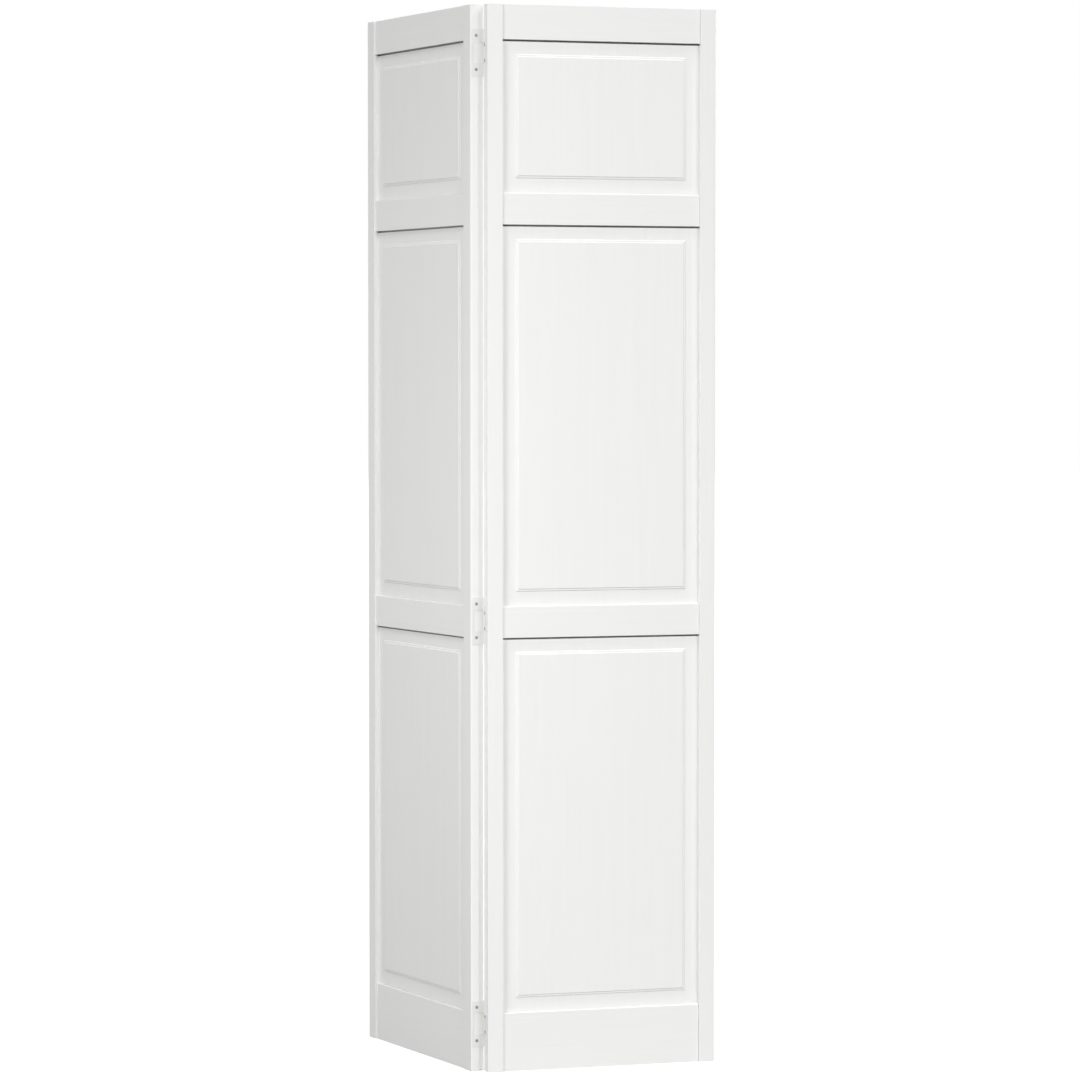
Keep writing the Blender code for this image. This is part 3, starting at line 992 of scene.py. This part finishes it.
@dataclass
class FlutedDowels(SmallParts):
    """All the dowels of one leaf: fluted pegs with tapered ends."""

    flutes: int = 12
    flute_depth: float = 0.25 * MM
    taper: float = 0.82
    sides: int = 48
    rings: int = 16
    slot: ClassVar[str] = "dowel_beech"
    ending: ClassVar[str] = "fluted_dowels"
    # Rings farther from the middle than this share of the length are the tapered ends
    end_share: ClassVar[float] = 0.499

    @classmethod
    def tree(cls) -> NodeTree:
        """Make the tree that turns one fluted dowel and sets it on every point.

        Returns:
            The tree.
        """
        inputs = {
            Socket.LENGTH: ("Radius", "Length", "Flute Depth", "Taper"),
            Socket.COUNT: ("Flutes", "Sides", "Rings"),
            Socket.TURN: ("Aim",),
        }
        tree, sizes = new_tree("fluted_dowels", inputs)
        round_peg = {"Resolution": sizes["Sides"], "Radius": sizes["Radius"]}
        circle = add_node(tree, "GeometryNodeCurvePrimitiveCircle", round_peg)
        point = add_node(tree, "GeometryNodeInputPosition")
        parts = add_node(tree, "ShaderNodeSeparateXYZ", {0: point}).outputs
        # A cosine of the turn round the axis sinks each flute by up to its depth
        sunk = parts["Y"]
        for operation, second in (
            ("ARCTAN2", parts["X"]),
            ("MULTIPLY", sizes["Flutes"]),
            ("COSINE", 0.0),
            ("SUBTRACT", 1.0),
            ("MULTIPLY", 0.5),
            ("MULTIPLY", sizes["Flute Depth"]),
        ):
            sunk = add_node(tree, "ShaderNodeMath", {0: sunk, 1: second}, operation=operation)
        outward = add_node(tree, "ShaderNodeVectorMath", {0: point}, operation="NORMALIZE")
        shift = add_node(tree, "ShaderNodeVectorMath", {0: outward, "Scale": sunk}, operation="SCALE")
        fluted = add_node(tree, "GeometryNodeSetPosition", {"Geometry": circle, "Offset": shift})
        ends = {}
        for end, share in (("Start", -0.5), ("End", 0.5)):
            reach = add_node(tree, "ShaderNodeMath", {0: sizes["Length"], 1: share}, operation="MULTIPLY")
            ends[end] = add_node(tree, "ShaderNodeCombineXYZ", {"Z": reach})
        axis = add_node(tree, "GeometryNodeCurvePrimitiveLine", ends)
        stepped = add_node(tree, "GeometryNodeResampleCurve", {"Curve": axis, "Count": sizes["Rings"]})
        at_end = add_node(tree, "GeometryNodeSplineParameter")
        for operation, second in (("SUBTRACT", 0.5), ("ABSOLUTE", 0.0), ("GREATER_THAN", cls.end_share)):
            at_end = add_node(tree, "ShaderNodeMath", {0: at_end, 1: second}, operation=operation)
        narrowed = {"Value": at_end, "To Min": 1.0, "To Max": sizes["Taper"]}
        waist = add_node(tree, "ShaderNodeMapRange", narrowed)
        sweep = {"Curve": stepped, "Profile Curve": fluted, "Scale": waist, "Fill Caps": True}
        dowel = add_node(tree, "GeometryNodeCurveToMesh", sweep)
        aim = add_node(tree, "FunctionNodeEulerToRotation", {0: sizes["Aim"]})
        pegs = {"Points": sizes["Geometry"], "Instance": dowel, "Rotation": aim}
        end_tree(tree, add_node(tree, "GeometryNodeInstanceOnPoints", pegs), sizes["Finish"])
        return tree

    def build(self) -> Mesh:
        """Set the dowels where their solids are.

        Returns:
            One mesh of all the leaf's dowels, in the world.
        """
        spans = [self.place.span(node) for node in self.nodes]
        low, high = spans[0]
        sizes = {"radius": (high.y - low.y) / 2, "length": high.x - low.x, "aim": self.place.aim(1.0)}
        middles = [(low + high) / 2 for low, high in spans]
        mesh = self.set_on(middles, self.shop.trees["dowels"], **sizes)
        return lay_grain(mesh, self.place, Grain.LEVEL, len(self.nodes))


@dataclass
class HingeScrews(SmallParts):
    """All the hinge screws of one leaf: countersunk, cross-recessed and each turned at random."""

    shank_radius: float = 1.5 * MM
    head_depth: float = 0.8 * MM
    tip_radius: float = 0.4 * MM
    tip_length: float = 3.0 * MM
    recess_width: float = 1.2 * MM
    recess_span: float = 3.2 * MM
    recess_depth: float = 0.7 * MM
    sides: int = 32
    seed: int = 7
    slot: ClassVar[str] = "screw_zinc"
    ending: ClassVar[str] = "hinge_screws"

    @staticmethod
    def tree() -> NodeTree:
        """Make the tree that shapes one screw and drives it at every point, turned at random.

        Returns:
            The tree.
        """
        lengths = ("Head Radius", "Head Depth", "Shank Radius", "Length", "Tip Radius", "Tip Length")
        lengths += ("Recess Width", "Recess Span", "Recess Depth")
        inputs = {Socket.LENGTH: lengths, Socket.COUNT: ("Sides", "Seed"), Socket.TURN: ("Aim",)}
        tree, sizes = new_tree("driven_screws", inputs)
        whole, head, tip = (sizes[label] for label in ("Length", "Head Depth", "Tip Length"))
        above_tip = add_node(tree, "ShaderNodeMath", {0: whole, 1: tip}, operation="SUBTRACT")
        shank = add_node(tree, "ShaderNodeMath", {0: above_tip, 1: head}, operation="SUBTRACT")
        shapes = []
        # Head, shank and tip: the radii at both ends, the length and how far the lower end is down
        for top, bottom, length, under in (
            ("Head Radius", "Shank Radius", head, head),
            ("Shank Radius", "Shank Radius", shank, above_tip),
            ("Shank Radius", "Tip Radius", tip, whole),
        ):
            radii = {"Radius Top": sizes[top], "Radius Bottom": sizes[bottom]}
            cone = {"Vertices": sizes["Sides"], "Depth": length, **radii}
            down = add_node(tree, "ShaderNodeMath", {0: under, 1: -1.0}, operation="MULTIPLY")
            sunk = {
                "Geometry": add_node(tree, "GeometryNodeMeshCone", cone),
                "Translation": add_node(tree, "ShaderNodeCombineXYZ", {"Z": down}),
            }
            shapes.append(add_node(tree, "GeometryNodeTransform", sunk))
        kind = "GeometryNodeMeshBoolean"
        screw = add_node(tree, kind, {"Mesh 2": shapes}, operation="UNION", solver="EXACT")
        tall = add_node(tree, "ShaderNodeMath", {0: sizes["Recess Depth"], 1: 2.0}, operation="MULTIPLY")
        for first, second in (("Recess Width", "Recess Span"), ("Recess Span", "Recess Width")):
            slab = {"X": sizes[first], "Y": sizes[second], "Z": tall}
            size = add_node(tree, "ShaderNodeCombineXYZ", slab)
            cut = {"Mesh 1": screw, "Mesh 2": add_node(tree, "GeometryNodeMeshCube", {"Size": size})}
            screw = add_node(tree, kind, cut, operation="DIFFERENCE", solver="EXACT")
        quarter = {"Min": 0.0, "Max": QUARTER_TURN, "Seed": sizes["Seed"]}
        turn = add_node(tree, "FunctionNodeRandomValue", quarter, data_type="FLOAT")
        spin = add_node(tree, "ShaderNodeCombineXYZ", {"Z": turn})
        turns = {}
        for socket, angles in enumerate((sizes["Aim"], spin)):
            turns[socket] = add_node(tree, "FunctionNodeEulerToRotation", {0: angles})
        turned = add_node(tree, "FunctionNodeRotateRotation", turns, rotation_space="LOCAL")
        driven = {"Points": sizes["Geometry"], "Instance": screw, "Rotation": turned}
        end_tree(tree, add_node(tree, "GeometryNodeInstanceOnPoints", driven), sizes["Finish"])
        return tree

    def build(self) -> Mesh:
        """Drive the screws where their solids are.

        Returns:
            One mesh of all the leaf's hinge screws, in the world.
        """
        low, high = self.place.span(self.nodes[0])
        sizes = {"head_radius": (high.z - low.z) / 2, "length": high.x - low.x, "aim": self.place.aim(-1.0)}
        return self.set_on(map(self.place.near_end, self.nodes), self.shop.trees["screws"], **sizes)


@dataclass
class HingePlate(Piece):
    """One plate of a hinge: stamped with rounded corners, rolled round the pin and countersunk."""

    kind: PlateKind
    screws: list[str]
    arm_height: float = 24.5 * MM
    spine: float = 5.0 * MM
    thickness: float = 1.0 * MM
    knuckle_radius: float = 2.2 * MM
    bore_radius: float = 1.2 * MM
    corner_radius: float = 3.0 * MM
    inner_radius: float = 0.8 * MM
    head_clearance: float = 0.12 * MM
    head_depth: float = 0.8 * MM
    hole_radius: float = 1.7 * MM
    slit: float = 0.3 * MM
    slit_turn: float = math.radians(38)
    edge: float = 0.15 * MM
    edge_segments: int = 2
    sides: int = 48
    slot: ClassVar[str] = "hinge_enamel"
    ending: ClassVar[str] = "enamelled"

    def ends(self) -> tuple[float, float]:
        """Give the heights of the plate's lower and upper edges."""
        low, high = self.place.span(self.node)
        return low.z, high.z

    def outline(self) -> list[tuple]:
        """Draw the plate's outline, from the line of the pin to its front edge.

        Returns:
            The outline's points, as (y, z).
        """
        low, high = self.ends()
        front = self.place.span(self.node)[0].y
        corner, inner = self.corner_radius, self.inner_radius
        corners = [(0.0, low, 0.0), (front, low, corner), (front, high, corner), (0.0, high, 0.0)]
        if self.kind is PlateKind.OUTER:
            neck = front + self.spine
            under, over = high - self.arm_height, low + self.arm_height
            corners += [(0.0, under, 0.0), (neck, under, inner), (neck, over, inner), (0.0, over, 0.0)]
        return rounded_outline(corners)

    def knuckles(self) -> list[tuple[float, float]]:
        """Share the line of the pin out among the plate's knuckles.

        Returns:
            The lower and the upper end of each knuckle.
        """
        low, high = self.ends()
        if self.kind is PlateKind.INNER:
            return [(low, high)]
        return [(low, low + self.arm_height), (high - self.arm_height, high)]

    def build(self) -> Mesh:
        """Stamp, roll, bore and countersink the plate, then break its edges.

        Returns:
            The plate's mesh, in the world.
        """
        work = bmesh.new()
        face = work.faces.new([work.verts.new((-self.thickness / 2, y, z)) for y, z in self.outline()])
        drawn = bmesh.ops.extrude_face_region(work, geom=[face])["geom"]
        points = [item for item in drawn if isinstance(item, BMVert)]
        bmesh.ops.translate(work, verts=points, vec=(self.thickness, 0.0, 0.0))
        plate = closed_mesh(self.node, work)
        rolls = bmesh.new()
        for ends in self.knuckles():
            add_turned(rolls, [(self.knuckle_radius, end) for end in ends], self.sides, Matrix())
        plate = combined(plate, closed_mesh("rolls", rolls), "UNION")
        for name, cutter in (("slit", self.slit_cutter()), ("holes", self.hole_cutter())):
            plate = combined(plate, closed_mesh(name, cutter), "DIFFERENCE")
        plate = moved(plate, self.place.to_world)
        breaks = {"angle_limit": CREASE_ANGLE, "width": self.edge, "segments": self.edge_segments}
        return shaded(modified(plate, "BEVEL", limit_method="ANGLE", **breaks))

    def slit_cutter(self) -> BMesh:
        """Make the cutter for the line where the rolled strip meets the plate again.

        Returns:
            The cutter, in the leaf's own distances.
        """
        low, high = self.ends()
        middle = (self.bore_radius + self.knuckle_radius) / 2
        through = 2 * (self.knuckle_radius - middle) + self.slit
        size = Matrix.Diagonal((self.slit, through, 2 * (high - low), 1.0))
        shift = Matrix.Translation((0.0, -middle - self.slit / 2, (low + high) / 2))
        turn = Matrix.Rotation(-self.slit_turn, 4, "Z")
        work = bmesh.new()
        bmesh.ops.create_cube(work, size=1.0, matrix=turn @ shift @ size)
        return work

    def hole_cutter(self) -> BMesh:
        """Make the cutter for the pin's bore and the countersunk screw holes.

        Returns:
            The cutter, in the leaf's own distances.
        """
        low, high = self.ends()
        work = bmesh.new()
        past = high - low
        bore = [(self.bore_radius, end) for end in (low - past, high + past)]
        add_turned(work, bore, self.sides, Matrix())
        for screw in self.screws:
            start, end = self.place.span(screw)
            head = (end.z - start.z) / 2 + self.head_clearance
            profile = (
                (head, -self.knuckle_radius * 2),
                (head, 0.0),
                (self.hole_radius, self.head_depth),
                (self.hole_radius, self.head_depth + self.thickness),
            )
            middle = Matrix.Translation(self.place.near_end(screw))
            add_turned(work, profile, self.sides, middle @ Matrix.Rotation(QUARTER_TURN, 4, "Y"))
        return work


@dataclass
class HingePin(Piece):
    """A hinge pin: drawn wire with domed ends."""

    dome: float = 0.6 * MM
    dome_rings: int = 6
    sides: int = 32
    slot: ClassVar[str] = "pin_steel"
    ending: ClassVar[str] = "drawn"

    def build(self) -> Mesh:
        """Turn the pin between its domed ends.

        Returns:
            The pin's mesh, in the world.
        """
        low, high = self.place.span(self.node)
        radius = (high.y - low.y) / 2
        turns = [QUARTER_TURN * step / self.dome_rings for step in range(self.dome_rings)]
        domed = [(radius * math.cos(turn), self.dome * (1 - math.sin(turn))) for turn in turns]
        profile = [(size, low.z + drop) for size, drop in reversed(domed)]
        profile += [(size, high.z - drop) for size, drop in domed]
        work = bmesh.new()
        add_turned(work, profile, self.sides, self.place.to_world)
        return shaded(closed_mesh(self.node, work))


@dataclass
class DoorLeaf:
    """One leaf of the door: two stiles, four rails, three raised panels and their dowels."""

    shop: Workshop
    place: LeafPlace
    plate: PlateKind
    first_board: int
    rails: tuple[str, ...] = ("bottom", "lock", "frieze", "top")
    panels: tuple[str, ...] = ("bottom", "middle", "top")

    def dress(self) -> None:
        """Build and finish every piece of the leaf."""
        word = self.place.leaf.word
        kit = (self.shop, self.place)
        boards = count(self.first_board)
        dowels = sorted(node for node in frame["nodes"] if node.startswith(word) and "_dowel_" in node)
        screws = sorted(node for node in frame["nodes"] if f"_{self.plate.value}_screw_" in node)
        pins = sorted(node for node in frame["nodes"] if node.endswith("_pin"))
        for name, end, driven, turned in (("hinge", "near", screws, pins), ("outer", "far", [], [])):
            pegs = [node for node in dowels if f"_{end}_dowel_" in node]
            Stile(*kit, f"{word}_{name}_stile", next(boards), pegs, driven, turned).dress()
        for name in self.rails:
            Rail(*kit, f"{word}_{name}_rail", next(boards)).dress()
        for name in self.panels:
            RaisedPanel(*kit, f"{word}_{name}_panel", next(boards)).dress()
        FlutedDowels(*kit, word, dowels).dress()


@dataclass
class HingeRow:
    """The three nesting hinges in the fold: outer plates and pins on the left leaf, inner on the right."""

    shop: Workshop
    left: LeafPlace
    right: LeafPlace
    heights: tuple[str, ...] = ("bottom", "middle", "top")

    def dress(self) -> None:
        """Build and finish the hinges and their screws."""
        for kind, place in ((PlateKind.OUTER, self.left), (PlateKind.INNER, self.right)):
            driven = []
            for height in self.heights:
                start = f"{height}_hinge_{kind.value}"
                screws = [f"{start}_screw_{end}" for end in ("lower", "upper")]
                HingePlate(self.shop, place, f"{start}_leaf", kind, screws).dress()
                driven += screws
            HingeScrews(self.shop, place, place.leaf.word, driven).dress()
        for height in self.heights:
            HingePin(self.shop, self.left, f"{height}_hinge_pin").dress()


@dataclass(frozen=True)
class Lamp:
    """A lamp that shines at the door.

    Its azimuth is in degrees from straight in front of the right leaf towards the right, and its
    elevation in degrees above the level.
    """

    name: str
    azimuth: float
    elevation: float

    def back(self) -> Vector:
        """Give the direction from the door to the lamp."""
        turn, lift = math.radians(self.azimuth), math.radians(self.elevation)
        return Vector((math.sin(turn) * math.cos(lift), -math.cos(turn) * math.cos(lift), math.sin(lift)))

    def hang(self, kind: str, **settings: Any) -> Object:
        """Hang the lamp, turned to the door.

        Args:
            kind: the lamp's type.
            settings: the lamp's attributes.
        Returns:
            The lamp's object.
        """
        lamp = bpy.data.lights.new(self.name, kind)
        for name, value in settings.items():
            setattr(lamp, name, value)
        holder = on_scene(lamp)
        holder.rotation_euler = (-self.back()).to_track_quat("-Z", "Y").to_euler()
        return holder


@dataclass(frozen=True)
class WideLight(Lamp):
    """A large soft light so far off that it falls evenly from top to bottom.

    Its spread is how wide it looks from the door, in degrees.
    """

    spread: float
    strength: float

    def place(self) -> None:
        """Put the light in the studio."""
        self.hang("SUN", energy=self.strength, angle=math.radians(self.spread))


@dataclass(frozen=True)
class Softbox(Lamp):
    """A square lamp near the door, aimed at a point in the fold about half way up."""

    distance: float
    side: float
    power: float
    aim: tuple[float, float, float] = (-0.1, -0.2, 1.1)

    def place(self) -> None:
        """Put the lamp in the studio."""
        holder = self.hang("AREA", shape="SQUARE", size=self.side, energy=self.power)
        holder.location = Vector(self.aim) + self.back() * self.distance


@dataclass
class Studio:
    """The plain white studio: floor, white background, lamps and camera."""

    floor_half: float = 40.0
    white: str = "#FFFFFF"
    paper: str = "#8C8C8C"
    shadow_paper: str = "#AAAAAA"
    paper_glow: float = 0.84
    lens: float = 133.89
    sensor: float = 36.0
    camera_place: tuple[float, float, float] = (-2.23402, -7.47086, 1.32368)
    camera_yaw: float = 16.674
    camera_pitch: float = -2.4216
    lamps: tuple[Union[WideLight, Softbox], ...] = (
        WideLight("far_right_wide_light", azimuth=45.0, elevation=33.0, spread=10.0, strength=0.56),
        WideLight("right_wide_light", azimuth=25.0, elevation=33.0, spread=10.0, strength=0.98),
        WideLight("front_wide_light", azimuth=0.0, elevation=33.0, spread=10.0, strength=0.87),
        WideLight("left_wide_light", azimuth=-60.0, elevation=20.0, spread=16.0, strength=0.62),
        WideLight("high_wide_light", azimuth=-65.0, elevation=62.0, spread=16.0, strength=0.95),
        WideLight("back_wide_light", azimuth=150.0, elevation=15.0, spread=50.0, strength=1.95),
        Softbox("left_softbox", azimuth=-49.4, elevation=3.1, distance=1.85, side=0.8, power=8.6),
        Softbox("side_softbox", azimuth=-87.3, elevation=2.7, distance=2.1, side=0.8, power=3.6),
    )

    @staticmethod
    def seen(tree: NodeTree) -> Union[Node, NodeSocket]:
        """Tell rays that show the background, to the eye or in gloss and glass, from rays that light.

        Args:
            tree: the material's or world's tree.
        Returns:
            What gives 1 where the background shows.
        """
        path = add_node(tree, "ShaderNodeLightPath").outputs
        shown = path["Is Camera Ray"]
        for kind in ("Is Glossy Ray", "Is Transmission Ray"):
            shown = add_node(tree, "ShaderNodeMath", {0: shown, 1: path[kind]}, operation="MAXIMUM")
        return shown

    def floor(self) -> None:
        """Lay the floor: white paper that keeps the door's shadow."""
        half = self.floor_half
        corners = [(-half, -half, 0), (half, -half, 0), (half, half, 0), (-half, half, 0)]
        mesh = bpy.data.meshes.new("studio_floor")
        mesh.from_pydata(corners, [], [range(len(corners))])
        material, tree = empty_material("white_paper_sweep")
        lit = add_node(tree, "ShaderNodeBsdfDiffuse", {"Color": linear(self.paper)})
        shadow = add_node(tree, "ShaderNodeBsdfDiffuse", {"Color": linear(self.shadow_paper)})
        glow = add_node(tree, "ShaderNodeEmission", {"Strength": self.paper_glow})
        shown = add_node(tree, "ShaderNodeAddShader", {0: glow, 1: shadow})
        paper = add_node(tree, "ShaderNodeMixShader", {0: self.seen(tree), 1: lit, 2: shown})
        add_node(tree, "ShaderNodeOutputMaterial", {"Surface": paper})
        mesh.materials.append(material)
        floor = on_scene(mesh)

    def world(self) -> None:
        """Show white behind the door and in its gloss, without lighting it."""
        world = bpy.data.worlds.new("studio_surround")
        world.use_nodes = True
        tree = world.node_tree
        tree.nodes.clear()
        shown = {"Color": linear(self.white), "Strength": self.seen(tree)}
        background = add_node(tree, "ShaderNodeBackground", shown)
        add_node(tree, "ShaderNodeOutputWorld", {"Surface": background})
        bpy.context.scene.world = world

    def camera(self) -> None:
        """Set the camera where the photograph was taken from."""
        data = bpy.data.cameras.new("photo_camera")
        data.sensor_width = self.sensor
        data.lens = self.lens
        camera = on_scene(data)
        camera.location = self.camera_place
        pitch, yaw = math.radians(self.camera_pitch), math.radians(self.camera_yaw)
        camera.rotation_euler = (QUARTER_TURN + pitch, 0.0, -yaw)
        bpy.context.scene.camera = camera

    def build(self) -> None:
        """Build the whole studio."""
        bpy.context.scene.view_settings.view_transform = "Standard"
        self.floor()
        self.world()
        self.camera()
        for lamp in self.lamps:
            lamp.place()


def main() -> None:
    """Build the studio and the door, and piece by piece."""
    logging.basicConfig(level=logging.INFO, format="%(name)s: %(message)s")
    Studio().build()
    materials = {slot: finish.material() for slot, finish in FINISHES.items()}
    trees = {"panel": RaisedPanel.tree(), "dowels": FlutedDowels.tree(), "screws": HingeScrews.tree()}
    shop = Workshop(materials, trees)
    joint = frame["joints"][0]
    places = {leaf: LeafPlace.from_joint(leaf, joint) for leaf in Leaf}
    for leaf, plate, first_board in ((Leaf.RIGHT, PlateKind.INNER, 0), (Leaf.LEFT, PlateKind.OUTER, BOARDS)):
        DoorLeaf(shop, places[leaf], plate, first_board).dress()
    HingeRow(shop, places[Leaf.LEFT], places[Leaf.RIGHT]).dress()


if __name__ == "__main__":
    main()
